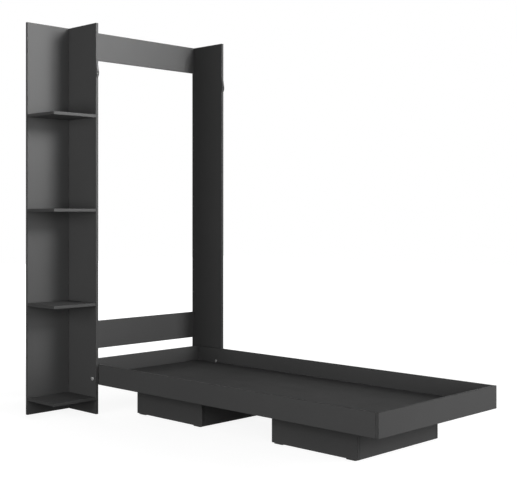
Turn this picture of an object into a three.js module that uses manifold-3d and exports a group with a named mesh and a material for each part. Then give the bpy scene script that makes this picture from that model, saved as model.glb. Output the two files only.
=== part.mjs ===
// Fold-away single wall bed with a corner column of shelves, made of laminated 16 mm board.
// Two side panels and two rails stand against the wall. A shallow tray for a mattress hangs between
// the panels on two pivots and lies on two box plinths. It folds up against the wall, where two turn
// catches hold it. Four shelves fill the corner between the left panel and a back panel.
//
// Millimetres. X runs along the wall to the right, Y towards the wall, Z up. While the pieces are
// placed, zero is the outer face of the left panel, the panels' front edges and the floor. The
// outermost group then moves the whole bed so that zero is the middle of its floor area.

import * as THREE from 'three';
import { mergeVertices } from 'three/addons/utils/BufferGeometryUtils.js';
import Module from 'manifold-3d';

const wasm = await Module();
wasm.setup();

// Boards and fits
const boardThickness = 16;
const edgeRadius = 1;
const cornerRadius = 1.5;
const jointGap = 0.25;
const dowelRadius = 4;
const dowelReach = 10;

// Standing frame and shelf column
const nicheWidth = 944;
const frameHeight = 2132;
const frameDepth = 264;
const railHeight = 158;
const lowerRailBottom = 317;
const shelfWidth = 275;
const shelfCount = 4;
const lowestShelfTop = 93;
const shelfPitch = 513;
const shelfSetback = 2;

// Bed tray
const traySideGap = 2;
const trayLength = 2084;
const trayHeadReach = 204;
const trayHeight = 110;
const trayBottom = 159;
const baseRecess = 8;
const grooveDepth = 6;
const tongueThickness = 8;

// Box plinths under the tray and their glides
const plinthWidth = 631;
const plinthLength = 513;
const plinthPitch = 996;
const footPlinthSetback = 229;
const glideHeight = 4;
const glideLength = 56;
const glideInset = 12;
const glideMargin = 1;
const glidePinRadius = 1.5;
const glidePinLength = 10;
const glidePinInset = 12;
const glidePinRoot = 1;
const glideEasing = 0.6;

// Screws that hold the boards together
const screwLength = 50;
const screwHeadRadius = 5;
const screwShankRadius = 3.5;
const screwThreadRadius = 2.5;
const screwSink = 0.2;
const screwHeadEdge = 0.8;
const screwTip = 4;
const screwSocketRadius = 2.3;
const screwSocketDepth = 2;
const railScrewInset = 35;
const shelfScrewInset = 70;
const shelfDowelInset = 60;
const backPanelScrewRise = 150;

// Pivots
const pivotHeadRadius = 11;
const pivotHeadThickness = 3.5;
const pivotHeadEasing = 1.2;
const pivotShoulderRadius = 5;
const pivotThreadRadius = 3;
const pivotThreadLength = 10;
const pivotTipTaper = 1;
const pivotShoulderInTray = 4;
const pivotSocketRadius = 3.5;
const pivotSocketDepth = 2.2;
const bushOuterRadius = 7;
const bushFlangeRadius = 14;
const bushRunningGap = 0.35;
const nutFlangeRadius = 7.5;
const nutFlangeThickness = 1.5;
const nutEasing = 0.5;
const nutAboveBase = 0.5;
const nutSocketRadius = 2.9;
const nutSocketDepth = 1.5;

// Turn catches
const catchFromFoot = 247;
const catchWing = 55;
const catchTail = 20;
const catchWidth = 15;
const catchTipRadius = 4.5;
const catchTipThickness = 2;
const catchBossThickness = 7;
const catchBossAbove = 6.6;
const catchBossBelow = 5;
const catchWingBend = 22;
const catchTailBend = 15;
const catchStandOff = 0.5;
const catchRecessDepth = 4.5;
const catchRecessMargin = 0.5;
const catchRecessAbove = 9;
const catchRecessBelow = 5.5;
const catchScrewRadius = 2.2;
const catchScrewDepth = 35;
const catchHeadRadius = 4.5;
const catchHeadThickness = 2;
const catchHeadEasing = 0.7;
const catchSocketRadius = 1.8;

// How finely round shapes are divided
const roundSides = 18;
const screwSides = 8;
const dowelSides = 8;
const pinSides = 6;
const socketSides = 6;
const roundingSteps = 2;
const glideCurveSteps = 3;
const catchCurveSteps = 5;
const weldTolerance = 1e-4;

// Places worked out from the sizes above
const leftInner = boardThickness;
const rightInner = leftInner + nicheWidth;
const rightOuter = rightInner + boardThickness;
const railBack = frameDepth;
const railFront = railBack - boardThickness;
const railMiddle = (railFront + railBack) / 2;
const topRailBottom = frameHeight - railHeight;
const trayLeft = leftInner + traySideGap;
const trayRight = rightInner - traySideGap;
const trayHead = trayHeadReach;
const trayFoot = trayHead - trayLength;
const trayTop = trayBottom + trayHeight;
const baseUnderside = trayBottom + baseRecess;
const baseTop = baseUnderside + boardThickness;

// The pivot runs just above the base. It is as far behind the panels' front edges as it is above the
// tray's lower edge, so the folded tray closes flush with the panels.
const pivotInset = baseTop - trayBottom + nutFlangeRadius + nutAboveBase;
const pivotHeight = trayBottom + pivotInset;
const pivotPoint = new THREE.Vector3(0, pivotInset, pivotHeight);
const foldedTop = pivotHeight + pivotInset - trayFoot;
const catchHeight = foldedTop - catchFromFoot;

// Materials
const boardMaterial = new THREE.MeshStandardMaterial({ color: 0x3e3f41, roughness: 0.62, metalness: 0 });
const steelMaterial = new THREE.MeshStandardMaterial({ color: 0xc9cacb, roughness: 0.28, metalness: 1 });
const screwMaterial = new THREE.MeshStandardMaterial({ color: 0x9a9a98, roughness: 0.38, metalness: 1 });
const glideMaterial = new THREE.MeshStandardMaterial({ color: 0x161616, roughness: 0.55, metalness: 0 });
const bushMaterial = new THREE.MeshStandardMaterial({ color: 0xd9d7d0, roughness: 0.5, metalness: 0 });
const catchMaterial = new THREE.MeshStandardMaterial({ color: 0x3a3a3c, roughness: 0.45, metalness: 0 });

const xAxis = new THREE.Vector3(1, 0, 0);
const yAxis = new THREE.Vector3(0, 1, 0);
const zAxis = new THREE.Vector3(0, 0, 1);

// Turns a closed geometry into a solid that can be joined and cut.
function solidOf(geometry) {
  const bare = geometry.clone();
  bare.deleteAttribute('normal');
  bare.deleteAttribute('uv');
  const merged = mergeVertices(bare, weldTolerance);
  const corners = merged.index.array;
  const kept = [];
  for (let i = 0; i < corners.length; i += 3) {
    const [a, b, c] = [corners[i], corners[i + 1], corners[i + 2]];
    if (a !== b && b !== c && c !== a) {
      kept.push(a, b, c);
    }
  }
  const vertProperties = Float32Array.from(merged.attributes.position.array);
  const triVerts = Uint32Array.from(kept);
  return new wasm.Manifold(new wasm.Mesh({ numProp: 3, vertProperties, triVerts }));
}

function geometryOf(solid) {
  const mesh = solid.getMesh();
  const places = Float32Array.from(mesh.vertProperties);
  const corners = Uint32Array.from(mesh.triVerts);
  const geometry = new THREE.BufferGeometry();
  geometry.setAttribute('position', new THREE.BufferAttribute(places, 3));
  geometry.setIndex(new THREE.BufferAttribute(corners, 1));
  geometry.computeVertexNormals();
  return geometry;
}

// A board between two opposite corners, with its edging rounded over on every edge.
function boardGeometry(low, high) {
  const size = high.clone().sub(low);
  const outline = new THREE.Shape();
  outline.moveTo(cornerRadius, 0);
  outline.lineTo(size.x - cornerRadius, 0);
  outline.absarc(size.x - cornerRadius, cornerRadius, cornerRadius, -Math.PI / 2, 0);
  outline.lineTo(size.x, size.y - cornerRadius);
  outline.absarc(size.x - cornerRadius, size.y - cornerRadius, cornerRadius, 0, Math.PI / 2);
  outline.lineTo(cornerRadius, size.y);
  outline.absarc(cornerRadius, size.y - cornerRadius, cornerRadius, Math.PI / 2, Math.PI);
  outline.lineTo(0, cornerRadius);
  outline.absarc(cornerRadius, cornerRadius, cornerRadius, Math.PI, Math.PI * 1.5);
  const geometry = new THREE.ExtrudeGeometry(outline, {
    depth: size.z - 2 * edgeRadius,
    bevelThickness: edgeRadius,
    bevelSize: edgeRadius,
    bevelOffset: -edgeRadius,
    bevelSegments: roundingSteps,
    curveSegments: roundingSteps / 2,
  });
  return geometry.translate(low.x, low.y, low.z + edgeRadius);
}

// A sharp block between two opposite corners, for grooves.
function blockGeometry(low, high) {
  const size = high.clone().sub(low);
  const middle = low.clone().add(high).multiplyScalar(0.5);
  return new THREE.BoxGeometry(size.x, size.y, size.z).translate(middle.x, middle.y, middle.z);
}

// A round shape turned about +Z from a list of [radius, height] points.
function turnedGeometry(profile, sides) {
  const points = profile.map(([radius, height]) => new THREE.Vector2(radius, height));
  return new THREE.LatheGeometry(points, sides).rotateX(Math.PI / 2);
}

// A plain rod or, as a cut, a plain hole, centred on zero and lying along Z.
function rodGeometry(radius, length, sides) {
  return new THREE.CylinderGeometry(radius, radius, length, sides).rotateX(Math.PI / 2);
}

// Copies of a geometry made along +Z are turned to point along a direction and moved to a place.
function aimed(geometry, place, direction) {
  const turn = new THREE.Quaternion().setFromUnitVectors(zAxis, direction);
  return geometry.clone().applyQuaternion(turn).translate(place.x, place.y, place.z);
}

function addMesh(group, name, geometry, material, place, direction) {
  const mesh = new THREE.Mesh(geometry, material);
  mesh.name = name;
  mesh.position.copy(place).sub(group.userData.zero);
  if (direction) {
    mesh.quaternion.setFromUnitVectors(zAxis, direction);
  }
  group.add(mesh);
  return mesh;
}

// A board with what is cut from it and what is glued into it, placed by its lowest corner.
function addBoard(group, name, low, high, cuts = [], additions = []) {
  let solid = solidOf(boardGeometry(low, high));
  for (const addition of additions) {
    solid = solid.add(solidOf(addition));
  }
  for (const cut of cuts) {
    solid = solid.subtract(solidOf(cut));
  }
  const geometry = geometryOf(solid).translate(-low.x, -low.y, -low.z);
  return addMesh(group, name, geometry, boardMaterial, low);
}

function point(x, y, z) {
  return new THREE.Vector3(x, y, z);
}

// The frame and the tray are groups of their own. The tray's group turns about the pivot line, and
// each catch's group about its screw.
function movingGroup(parent, zero) {
  const group = new THREE.Group();
  group.position.copy(zero).sub(parent.userData.zero);
  group.userData.zero = zero.clone();
  parent.add(group);
  return group;
}

const wallBed = new THREE.Group();
wallBed.userData.zero = point(0, 0, 0);
const frame = movingGroup(wallBed, point(0, 0, 0));
const tray = movingGroup(wallBed, pivotPoint);

// Connecting screw with a flat head, a plain shank through the first board and a thread in the second.
// Its head starts at zero and it points along +Z. Grown by the joint gap, the same profile is its hole.
function screwProfile(grow) {
  const coneEnd = screwHeadEdge + screwHeadRadius - screwShankRadius;
  const shankEnd = boardThickness - screwSink;
  const mouth = grow > 0 ? -1 : 0;
  return [
    [0, mouth],
    [screwHeadRadius + grow, mouth],
    [screwHeadRadius + grow, screwHeadEdge],
    [screwShankRadius + grow, coneEnd],
    [screwShankRadius + grow, shankEnd],
    [screwThreadRadius + grow, shankEnd],
    [screwThreadRadius + grow, screwLength - screwTip],
    [0, screwLength + grow],
  ];
}

const screwHole = turnedGeometry(screwProfile(jointGap), screwSides);
const screwSocket = rodGeometry(screwSocketRadius, 2 * screwSocketDepth, socketSides);
const screwBody = geometryOf(
  solidOf(turnedGeometry(screwProfile(0), screwSides)).subtract(solidOf(screwSocket)),
);

// A wooden dowel glued into one board, and the hole for its free end in the next board.
function dowel(place, direction) {
  return aimed(rodGeometry(dowelRadius, 2 * dowelReach, dowelSides), place, direction);
}

function dowelHole(place, direction) {
  const length = 2 * (dowelReach + 2 * jointGap);
  return aimed(rodGeometry(dowelRadius + jointGap, length, dowelSides), place, direction);
}

// Where every screw goes: its head sits just under the face that it is driven through.
const left = xAxis.clone().negate();
const right = xAxis;
const back = yAxis;
const front = yAxis.clone().negate();
const leftFaceX = screwSink;
const rightFaceX = rightOuter - screwSink;
const nicheFaceX = leftInner - screwSink;
const shelfMiddles = [];
for (let i = 0; i < shelfCount; i += 1) {
  shelfMiddles.push(lowestShelfTop + i * shelfPitch - boardThickness / 2);
}
const railScrewHeights = [
  lowerRailBottom + railScrewInset,
  lowerRailBottom + railHeight - railScrewInset,
  topRailBottom + railScrewInset,
  frameHeight - railScrewInset,
];
const screws = [];
railScrewHeights.forEach((height, i) => {
  const leftPlace = point(leftFaceX, railMiddle, height);
  const rightPlace = point(rightFaceX, railMiddle, height);
  screws.push({ name: `rail_screw_left_${i + 1}`, place: leftPlace, aim: right });
  screws.push({ name: `rail_screw_right_${i + 1}`, place: rightPlace, aim: left });
});
shelfMiddles.forEach((height, i) => {
  const sidePlace = point(nicheFaceX, shelfScrewInset, height);
  const rearPlace = point(shelfScrewInset - shelfWidth, railBack - screwSink, height);
  const backPlace = point(nicheFaceX, railMiddle, height + backPanelScrewRise);
  screws.push({ name: `shelf_side_screw_${i + 1}`, place: sidePlace, aim: left });
  screws.push({ name: `shelf_rear_screw_${i + 1}`, place: rearPlace, aim: front });
  screws.push({ name: `back_panel_screw_${i + 1}`, place: backPlace, aim: left });
});
for (const screw of screws) {
  addMesh(frame, screw.name, screwBody, screwMaterial, screw.place, screw.aim);
}

function screwHoles(test) {
  return screws.filter(test).map((screw) => aimed(screwHole, screw.place, screw.aim));
}

// Dowels stand between each shelf and the panels behind it and beside it.
const shelfDowels = shelfMiddles.map((height) => ({
  side: point(-jointGap, railFront - shelfDowelInset, height),
  rear: point(-shelfDowelInset, railFront - jointGap, height),
}));

// Side panels, full height, each with a hole for its pivot bush and one for its catch's screw.
const bushHole = rodGeometry(bushOuterRadius + jointGap, 2 * boardThickness, roundSides);
const catchHoleLength = 2 * (catchScrewDepth + jointGap);
const catchHole = rodGeometry(catchScrewRadius + jointGap, catchHoleLength, screwSides);
const panelHoles = (middle) => [
  aimed(bushHole, point(middle, pivotInset, pivotHeight), xAxis),
  aimed(catchHole, point(middle, 0, catchHeight), yAxis),
];
const leftMiddle = leftInner / 2;
const rightMiddle = (rightInner + rightOuter) / 2;
addBoard(
  frame,
  'side_panel_left',
  point(0, 0, 0),
  point(leftInner, frameDepth, frameHeight),
  [
    ...panelHoles(leftMiddle),
    ...screwHoles((screw) => !/right|rear/.test(screw.name)),
    ...shelfDowels.map(({ side }) => dowelHole(side, xAxis)),
  ],
);
addBoard(
  frame,
  'side_panel_right',
  point(rightInner, 0, 0),
  point(rightOuter, frameDepth, frameHeight),
  [...panelHoles(rightMiddle), ...screwHoles((screw) => /right/.test(screw.name))],
);

// Rails between the side panels, flush with their back edges, the upper one flush with their tops.
for (const [name, bottom] of [['lower_rail', lowerRailBottom], ['top_rail', topRailBottom]]) {
  addBoard(
    frame,
    name,
    point(leftInner + jointGap, railFront, bottom),
    point(rightInner - jointGap, railBack, bottom + railHeight),
    screwHoles((screw) => /^rail/.test(screw.name)),
  );
}

// Shelf column: a full-height back panel against the left side panel, and four shelves in the corner.
addBoard(
  frame,
  'shelf_back_panel',
  point(-shelfWidth, railFront, 0),
  point(-jointGap, railBack, frameHeight),
  [
    ...screwHoles((screw) => /rear|back_panel/.test(screw.name)),
    ...shelfDowels.map(({ rear }) => dowelHole(rear, back)),
  ],
);
shelfMiddles.forEach((height, i) => {
  addBoard(
    frame,
    `shelf_${i + 1}`,
    point(-shelfWidth, shelfSetback, height - boardThickness / 2),
    point(-jointGap, railFront - jointGap, height + boardThickness / 2),
    screwHoles((screw) => screw.name.startsWith('shelf') && screw.name.endsWith(`_${i + 1}`)),
    [dowel(shelfDowels[i].side, right), dowel(shelfDowels[i].rear, back)],
  );
});

// Tray boards stand round the base panel, whose edge is rebated to a tongue in grooves near their
// lower edges. The head and foot boards run across the full width and take the dowels in the ends of
// the side boards.
const sideInnerLeft = trayLeft + boardThickness;
const sideInnerRight = trayRight - boardThickness;
const footInner = trayFoot + boardThickness;
const headInner = trayHead - boardThickness;
const tongueTop = baseUnderside + tongueThickness;
const tongueDepth = grooveDepth - jointGap;
const groove = blockGeometry(
  point(sideInnerLeft - grooveDepth, footInner - grooveDepth, baseUnderside - jointGap),
  point(sideInnerRight + grooveDepth, headInner + grooveDepth, tongueTop + jointGap),
);
const trayDowelHeights = [1 / 3, 2 / 3].map((share) => baseTop + share * (trayTop - baseTop));
const corners = (middle) => trayDowelHeights.flatMap((height) => [
  { place: point(middle, footInner + jointGap, height), aim: front },
  { place: point(middle, headInner - jointGap, height), aim: back },
]);
const leftBoardMiddle = (trayLeft + sideInnerLeft) / 2;
const rightBoardMiddle = (trayRight + sideInnerRight) / 2;
const cornerHoles = [...corners(leftBoardMiddle), ...corners(rightBoardMiddle)]
  .map(({ place, aim }) => dowelHole(place, aim));
const boltHole = rodGeometry(pivotShoulderRadius + jointGap, 2 * boardThickness, roundSides);

for (const [name, low, high, middle] of [
  ['tray_side_board_left', trayLeft, sideInnerLeft, leftBoardMiddle],
  ['tray_side_board_right', sideInnerRight, trayRight, rightBoardMiddle],
]) {
  addBoard(
    tray,
    name,
    point(low, footInner + jointGap, trayBottom),
    point(high, headInner - jointGap, trayTop),
    [groove, aimed(boltHole, point(middle, pivotInset, pivotHeight), xAxis)],
    corners(middle).map(({ place, aim }) => dowel(place, aim)),
  );
}
for (const [name, low, high] of [
  ['tray_foot_board', trayFoot, footInner],
  ['tray_head_board', headInner, trayHead],
]) {
  addBoard(
    tray,
    name,
    point(trayLeft, low, trayBottom),
    point(trayRight, high, trayTop),
    [groove, ...cornerHoles],
  );
}
const baseUpper = boardGeometry(
  point(sideInnerLeft + jointGap, footInner + jointGap, baseUnderside + edgeRadius),
  point(sideInnerRight - jointGap, headInner - jointGap, baseTop),
);
addBoard(
  tray,
  'tray_base_panel',
  point(sideInnerLeft - tongueDepth, footInner - tongueDepth, baseUnderside),
  point(sideInnerRight + tongueDepth, headInner + tongueDepth, tongueTop),
  [],
  [baseUpper],
);

// Two open-bottomed box plinths under the base. Their side boards run the full length, the front and
// back boards stand between them on dowels, and nailed glides carry the side boards.
const plinthLeft = (trayLeft + trayRight - plinthWidth) / 2;
const plinthRight = plinthLeft + plinthWidth;
const plinthTop = baseUnderside - jointGap;
const plinthBottom = glideHeight;
const plinthDowelHeights = [1 / 4, 3 / 4].map((share) => plinthBottom + share * (plinthTop - plinthBottom));
const glideWidth = boardThickness - 2 * glideMargin;
const glideTop = plinthBottom - jointGap;
const glidePinOffset = glideLength / 2 - glidePinInset;

// A glide is a pad with round ends and eased edges, with two pins that are driven into the board.
function glideGeometry() {
  const radius = glideWidth / 2;
  const straight = glideLength / 2 - radius;
  const outline = new THREE.Shape();
  outline.absarc(0, straight, radius, 0, Math.PI);
  outline.absarc(0, -straight, radius, Math.PI, 2 * Math.PI);
  const pad = new THREE.ExtrudeGeometry(outline, {
    depth: glideTop - 2 * glideEasing,
    bevelThickness: glideEasing,
    bevelSize: glideEasing,
    bevelOffset: -glideEasing,
    bevelSegments: 1,
    curveSegments: glideCurveSteps,
  }).translate(0, 0, glideEasing);
  const pinMiddle = glideTop - glidePinRoot + glidePinLength / 2;
  let solid = solidOf(pad);
  for (const side of [-1, 1]) {
    const pin = rodGeometry(glidePinRadius, glidePinLength, pinSides);
    solid = solid.add(solidOf(pin.translate(0, side * glidePinOffset, pinMiddle)));
  }
  return geometryOf(solid);
}

const glideShape = glideGeometry();
const glidePinHole = rodGeometry(glidePinRadius + jointGap, 2 * glidePinLength, pinSides);

function addPlinth(name, footEnd) {
  const headEnd = footEnd + plinthLength;
  const innerLeft = plinthLeft + boardThickness;
  const innerRight = plinthRight - boardThickness;
  const crossBoards = [
    ['front_board', footEnd, footEnd + boardThickness],
    ['back_board', headEnd - boardThickness, headEnd],
  ];
  const glideMiddles = [
    footEnd + glideInset + glideLength / 2,
    headEnd - glideInset - glideLength / 2,
  ];
  const pegs = (x, aim) => crossBoards.flatMap(([, low, high]) => {
    const y = (low + high) / 2;
    return plinthDowelHeights.map((height) => ({ place: point(x, y, height), aim }));
  });
  const leftPegs = pegs(innerLeft + jointGap, left);
  const rightPegs = pegs(innerRight - jointGap, right);
  for (const [side, low, high, holes] of [
    ['left_board', plinthLeft, innerLeft, leftPegs],
    ['right_board', innerRight, plinthRight, rightPegs],
  ]) {
    const middle = (low + high) / 2;
    const pinHoles = glideMiddles.flatMap((y) => [-1, 1].map((end) => {
      const place = point(middle, y + end * glidePinOffset, plinthBottom);
      return aimed(glidePinHole, place, zAxis);
    }));
    addBoard(
      tray,
      `${name}_${side}`,
      point(low, footEnd, plinthBottom),
      point(high, headEnd, plinthTop),
      [...holes.map(({ place, aim }) => dowelHole(place, aim)), ...pinHoles],
    );
    glideMiddles.forEach((y, i) => {
      const glideName = `${name}_glide_${['front', 'back'][i]}_${side.split('_')[0]}`;
      addMesh(tray, glideName, glideShape, glideMaterial, point(middle, y, 0));
    });
  }
  for (const [side, low, high] of crossBoards) {
    const middle = (low + high) / 2;
    const own = [...leftPegs, ...rightPegs].filter(({ place }) => place.y === middle);
    addBoard(
      tray,
      `${name}_${side}`,
      point(innerLeft + jointGap, low, plinthBottom),
      point(innerRight - jointGap, high, plinthTop),
      [],
      own.map(({ place, aim }) => dowel(place, aim)),
    );
  }
}

addPlinth('foot_plinth', trayFoot + footPlinthSetback);
addPlinth('head_plinth', trayFoot + footPlinthSetback + plinthPitch);

// A flat screw head with an eased edge, as the first points of a turned profile.
function easedHead(radius, easing, thickness) {
  return [
    [0, 0],
    [radius - 2 * easing, 0],
    [radius - easing / 2, easing / 2],
    [radius, easing],
    [radius, thickness],
  ];
}

// Pivots. A shoulder bolt with a large flat head passes through a flanged bush in the side panel and is
// screwed into a sleeve nut in the tray's side board, so bolt and nut turn with the tray in the bush.
const shoulderLength = jointGap + boardThickness + traySideGap + pivotShoulderInTray;
const shoulderEnd = pivotHeadThickness + shoulderLength;
const boltEnd = shoulderEnd + pivotThreadLength;
const boltProfile = [
  ...easedHead(pivotHeadRadius, pivotHeadEasing, pivotHeadThickness),
  [pivotShoulderRadius, pivotHeadThickness],
  [pivotShoulderRadius, shoulderEnd],
  [pivotThreadRadius, shoulderEnd],
  [pivotThreadRadius, boltEnd - pivotTipTaper],
  [pivotThreadRadius - pivotTipTaper, boltEnd],
  [0, boltEnd],
];
const boltSocket = rodGeometry(pivotSocketRadius, 2 * pivotSocketDepth, socketSides);
const boltShape = geometryOf(
  solidOf(turnedGeometry(boltProfile, roundSides)).subtract(solidOf(boltSocket)),
);

const bushFlangeThickness = traySideGap - 2 * jointGap;
const bushBore = pivotShoulderRadius + bushRunningGap;
const bushProfile = [
  [bushBore, 0],
  [bushOuterRadius, 0],
  [bushOuterRadius, boardThickness],
  [bushFlangeRadius, boardThickness],
  [bushFlangeRadius, boardThickness + bushFlangeThickness],
  [bushBore, boardThickness + bushFlangeThickness],
  [bushBore, 0],
];
const bushShape = turnedGeometry(bushProfile, roundSides);

const barrelStart = pivotShoulderInTray + jointGap;
const barrelEnd = boardThickness + jointGap;
const barrelBore = pivotThreadRadius + jointGap;
const boreEnd = pivotShoulderInTray + pivotThreadLength + jointGap;
const nutEnd = barrelEnd + nutFlangeThickness;
const nutProfile = [
  [barrelBore, barrelStart],
  [pivotShoulderRadius, barrelStart],
  [pivotShoulderRadius, barrelEnd],
  [nutFlangeRadius, barrelEnd],
  [nutFlangeRadius, nutEnd - nutEasing],
  [nutFlangeRadius - nutEasing, nutEnd],
  [0, nutEnd],
  [0, boreEnd],
  [barrelBore, boreEnd],
  [barrelBore, barrelStart],
];
const nutSocket = rodGeometry(nutSocketRadius, 2 * nutSocketDepth, socketSides);
nutSocket.translate(0, 0, nutEnd);
const nutShape = geometryOf(
  solidOf(turnedGeometry(nutProfile, roundSides)).subtract(solidOf(nutSocket)),
);

for (const [side, outerFace, trayFace, aim] of [
  ['left', 0, trayLeft, right],
  ['right', rightOuter, trayRight, left],
]) {
  const inward = aim.x;
  const headX = outerFace - inward * (jointGap + pivotHeadThickness);
  const headPlace = point(headX, pivotInset, pivotHeight);
  const bushPlace = point(outerFace + inward * jointGap, pivotInset, pivotHeight);
  const nutPlace = point(trayFace, pivotInset, pivotHeight);
  addMesh(tray, `pivot_bolt_${side}`, boltShape, steelMaterial, headPlace, aim);
  addMesh(frame, `pivot_bush_${side}`, bushShape, bushMaterial, bushPlace, aim);
  addMesh(tray, `pivot_nut_${side}`, nutShape, steelMaterial, nutPlace, aim);
}

// Turn catches on the front edges of the side panels. The lever is a wing that thins towards its tip,
// with a short tail to push and a boss with a long recess for its screw. Parked, the wing points up.
// Turned inwards by a quarter, it lies across the underside of the folded tray.
function leverShape() {
  const boss = catchStandOff + catchBossThickness;
  const tip = catchStandOff + catchTipThickness;
  const half = catchWidth / 2;
  const through = 3 * boss;

  // Seen from the side, x is how far the lever stands forward and y is up.
  const side = new THREE.Shape();
  side.moveTo(catchStandOff, -catchTail);
  side.lineTo(tip, -catchTail);
  side.quadraticCurveTo(boss, -catchTailBend, boss, -catchBossBelow);
  side.lineTo(boss, catchBossAbove);
  side.quadraticCurveTo(boss, catchWingBend, tip, catchWing);
  side.lineTo(catchStandOff, catchWing);
  side.closePath();
  const sideBody = new THREE.ExtrudeGeometry(side, {
    depth: catchWidth,
    bevelEnabled: false,
    curveSegments: catchCurveSteps,
  });
  sideBody.rotateX(Math.PI / 2).rotateZ(-Math.PI / 2).translate(half, 0, 0);

  // Seen from the front, it narrows from the screw to a round tip at each end.
  const face = new THREE.Shape();
  face.moveTo(-half, 0);
  face.lineTo(-catchTipRadius, catchTipRadius - catchTail);
  face.absarc(0, catchTipRadius - catchTail, catchTipRadius, Math.PI, 2 * Math.PI);
  face.lineTo(half, 0);
  face.lineTo(catchTipRadius, catchWing - catchTipRadius);
  face.absarc(0, catchWing - catchTipRadius, catchTipRadius, 0, Math.PI);
  face.closePath();
  const faceBody = new THREE.ExtrudeGeometry(face, {
    depth: through,
    bevelEnabled: false,
    curveSegments: catchCurveSteps,
  });
  faceBody.rotateX(Math.PI / 2).translate(0, boss, 0);

  const boreRadius = catchScrewRadius + jointGap;
  const bore = new THREE.CylinderGeometry(boreRadius, boreRadius, through, roundSides);
  const recessRadius = catchHeadRadius + catchRecessMargin;
  const opening = new THREE.Shape();
  opening.absarc(0, -catchRecessBelow, recessRadius, Math.PI, 2 * Math.PI);
  opening.absarc(0, catchRecessAbove, recessRadius, 0, Math.PI);
  opening.closePath();
  const recess = new THREE.ExtrudeGeometry(opening, {
    depth: 2 * catchRecessDepth,
    bevelEnabled: false,
    curveSegments: catchCurveSteps,
  });
  recess.rotateX(Math.PI / 2).translate(0, catchRecessDepth - boss, 0);
  return geometryOf(
    solidOf(sideBody).intersect(solidOf(faceBody)).subtract(solidOf(bore)).subtract(solidOf(recess)),
  );
}

const leverGeometry = leverShape();
const catchRecessFloor = catchStandOff + catchBossThickness - catchRecessDepth;
const catchHeadTop = catchRecessFloor + jointGap + catchHeadThickness;
const catchScrewEnd = catchHeadTop + catchScrewDepth;
const catchScrewProfile = [
  ...easedHead(catchHeadRadius, catchHeadEasing, catchHeadThickness),
  [catchScrewRadius, catchHeadThickness],
  [catchScrewRadius, catchScrewEnd - screwTip],
  [0, catchScrewEnd],
];
const catchSocket = rodGeometry(catchSocketRadius, catchHeadThickness, socketSides);
const catchScrewShape = geometryOf(
  solidOf(turnedGeometry(catchScrewProfile, roundSides)).subtract(solidOf(catchSocket)),
);
for (const [side, middle] of [['left', leftMiddle], ['right', rightMiddle]]) {
  const catchPoint = point(middle, 0, catchHeight);
  const screwPoint = point(middle, -catchHeadTop, catchHeight);
  const lever = movingGroup(wallBed, catchPoint);
  addMesh(lever, `catch_lever_${side}`, leverGeometry, catchMaterial, catchPoint);
  addMesh(frame, `catch_screw_${side}`, catchScrewShape, screwMaterial, screwPoint, back);
}

// Zero moves to the middle of the floor area that the bed covers when it is folded down.
const headStandOut = jointGap + pivotHeadThickness;
const middleX = (rightOuter + headStandOut - shelfWidth) / 2;
const middleY = (frameDepth + trayFoot) / 2;
wallBed.position.set(-middleX, -middleY, 0);

export default wallBed;
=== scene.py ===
from math import radians, sqrt

import bmesh
import bpy
from mathutils import Matrix, Vector


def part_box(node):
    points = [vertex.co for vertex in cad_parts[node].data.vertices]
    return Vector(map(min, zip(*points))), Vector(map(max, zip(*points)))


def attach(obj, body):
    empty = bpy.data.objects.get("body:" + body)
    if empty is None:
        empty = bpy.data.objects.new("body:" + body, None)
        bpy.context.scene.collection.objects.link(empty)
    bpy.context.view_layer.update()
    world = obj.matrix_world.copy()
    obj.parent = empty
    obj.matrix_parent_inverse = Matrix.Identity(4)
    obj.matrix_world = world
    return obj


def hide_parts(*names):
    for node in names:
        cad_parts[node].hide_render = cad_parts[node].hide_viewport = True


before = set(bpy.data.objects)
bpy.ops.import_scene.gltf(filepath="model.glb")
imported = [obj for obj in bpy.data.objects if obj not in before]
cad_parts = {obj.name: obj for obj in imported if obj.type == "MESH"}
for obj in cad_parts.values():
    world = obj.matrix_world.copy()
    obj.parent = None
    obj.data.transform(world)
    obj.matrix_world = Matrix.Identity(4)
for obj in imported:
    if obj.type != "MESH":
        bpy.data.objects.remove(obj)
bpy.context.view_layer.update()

# The view
# The bed is seen from the left of its foot end, at about 1.1 m above the floor, with a long lens held
# level. The vertical edges stay upright, so the lens is shifted a little instead of tilted.
camera_data = bpy.data.cameras.new("view")
camera_data.sensor_width = 36
camera_data.lens = 70.17
camera_data.shift_x = 0.0590
camera_data.shift_y = -0.0709
camera_data.clip_end = 60
camera = bpy.data.objects.new("view", camera_data)
camera.location = (-3.719595, -3.580210, 1.094070)
camera.rotation_euler = (radians(90), 0, radians(-44.96))
bpy.context.scene.collection.objects.link(camera)
bpy.context.scene.camera = camera
bpy.context.scene.view_settings.view_transform = "Standard"

# Floor and light
# A white studio. The floor and the world show plain white to the camera and in reflections. Near the bed
# the floor keeps a share of its own shading, so its soft shadow stays. It throws little light back up at
# the bed, and the lamps are large panels.
floor_reach = 15
floor_sink = 0.0004
floor_white = 0.85
floor_bounce = 0.2
shadow_share = 0.3
floor_glow = 1.27
shadow_reach = 1.6
shadow_end = 4.5
ambient = 0.02


def shader_tree(block):
    """Empties the node tree of a material or the world and gives back a function that adds nodes."""
    block.use_nodes = True
    tree = block.node_tree
    tree.nodes.clear()

    def add(kind, inputs=(), **settings):
        node = tree.nodes.new(kind)
        for key, value in settings.items():
            setattr(node, key, value)
        for key, value in dict(inputs).items():
            if isinstance(value, bpy.types.NodeSocket):
                tree.links.new(value, node.inputs[key])
            else:
                node.inputs[key].default_value = value
        return node

    return add


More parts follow.
